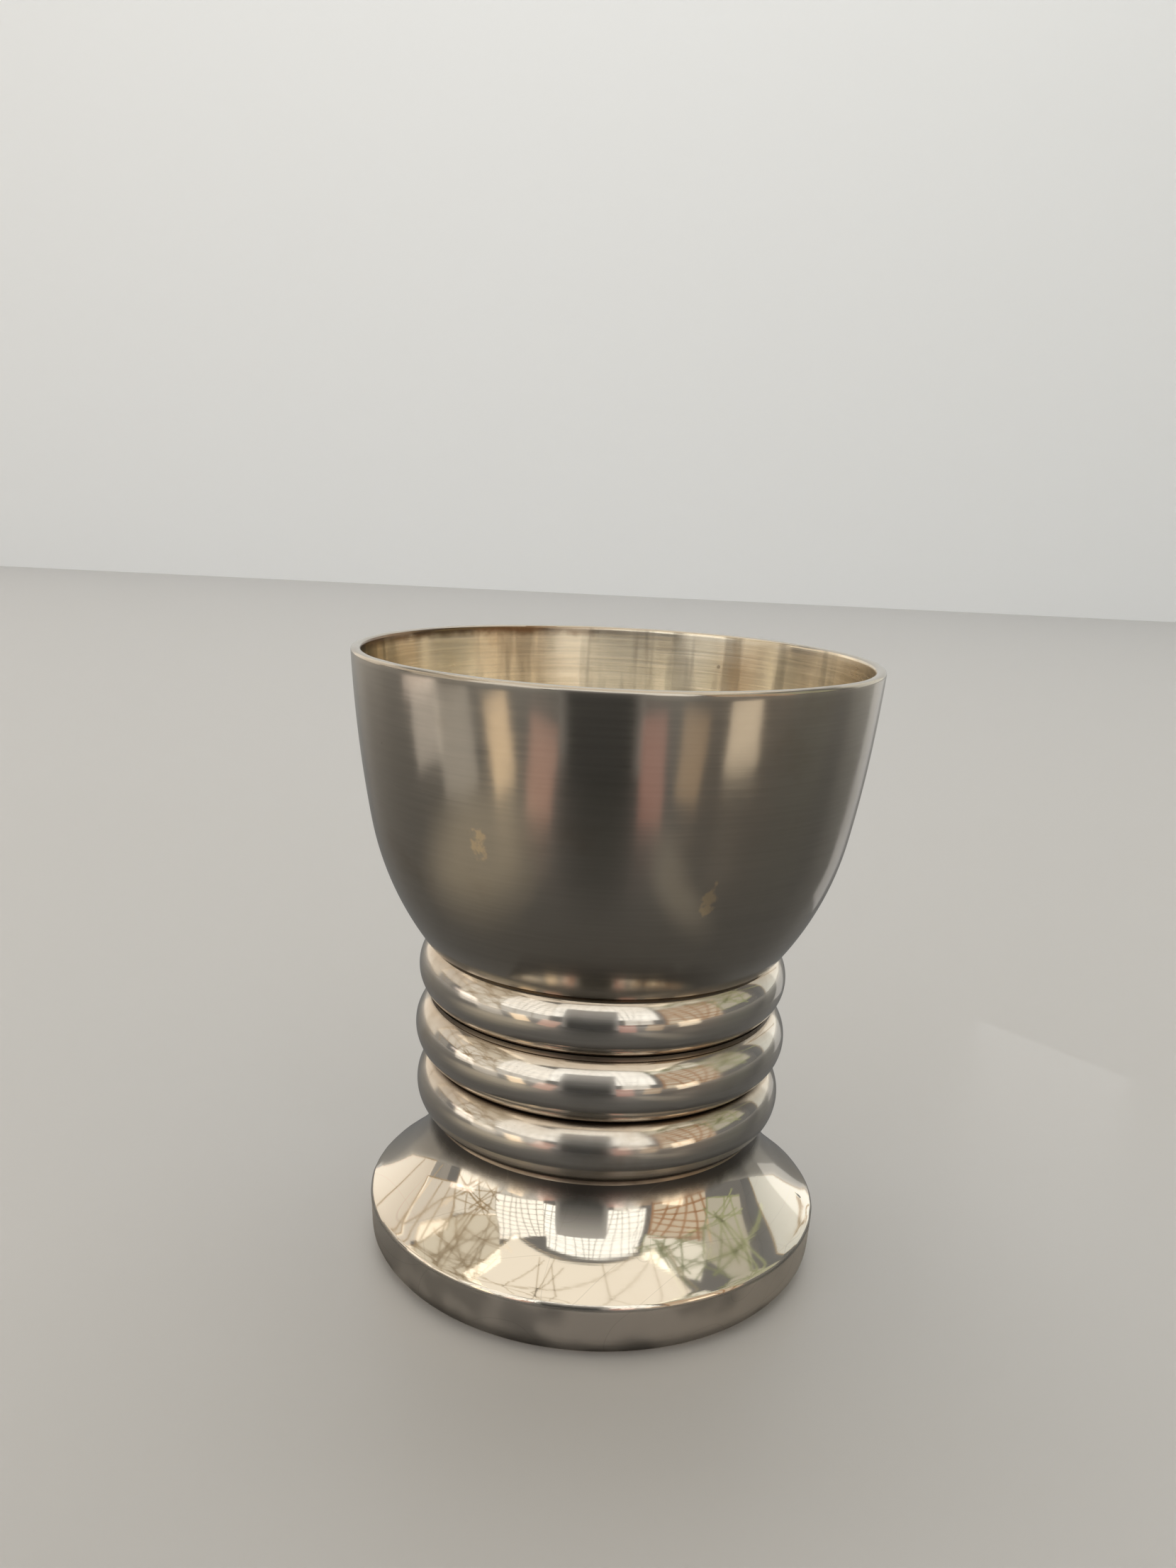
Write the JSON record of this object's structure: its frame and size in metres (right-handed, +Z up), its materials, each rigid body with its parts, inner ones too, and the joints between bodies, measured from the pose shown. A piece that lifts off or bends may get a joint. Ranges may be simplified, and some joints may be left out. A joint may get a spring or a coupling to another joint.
{
  "type": "bar jigger",
  "caption": "Double-ended spirit measure: a spun silver-plated cup over a ringed neck and a flared foot, with a smaller measure opening downwards inside the foot",
  "frame": {"origin": "centre of the circle that the foot stands on", "axes": "+Z up along the turning axis, to the large cup's lip; +X and +Y are any two directions across it, because the object is a solid of revolution"},
  "size_m": [0.0534, 0.0534, 0.064],
  "materials": {
    "cup_plate": "silver plate, polished by hand, softly hazed and tarnished warm grey",
    "ring_plate": "silver plate, bright polish, brown tarnish in the creases",
    "foot_plate": "silver plate, mirror polish with fine turned scratches, satin band",
    "measure_plate": "silver plate, satin from spinning",
    "base_plate": "silver plate, dull and rubbed",
    "solder": "soft silver solder, tarnished brown-grey"
  },
  "bodies": {
    "root": {"upper_cup": "cup_plate", "ring_upper": "ring_plate", "ring_middle": "ring_plate", "ring_lower": "ring_plate", "foot_shell": "foot_plate", "lower_measure": "measure_plate", "closing_plate": "base_plate", "cup_solder_seam": "solder", "neck_solder_seam": "solder", "foot_solder_seam": "solder", "plate_solder_seam": "solder", "mouth_solder_seam": "solder"}
  },
  "joints": []
}
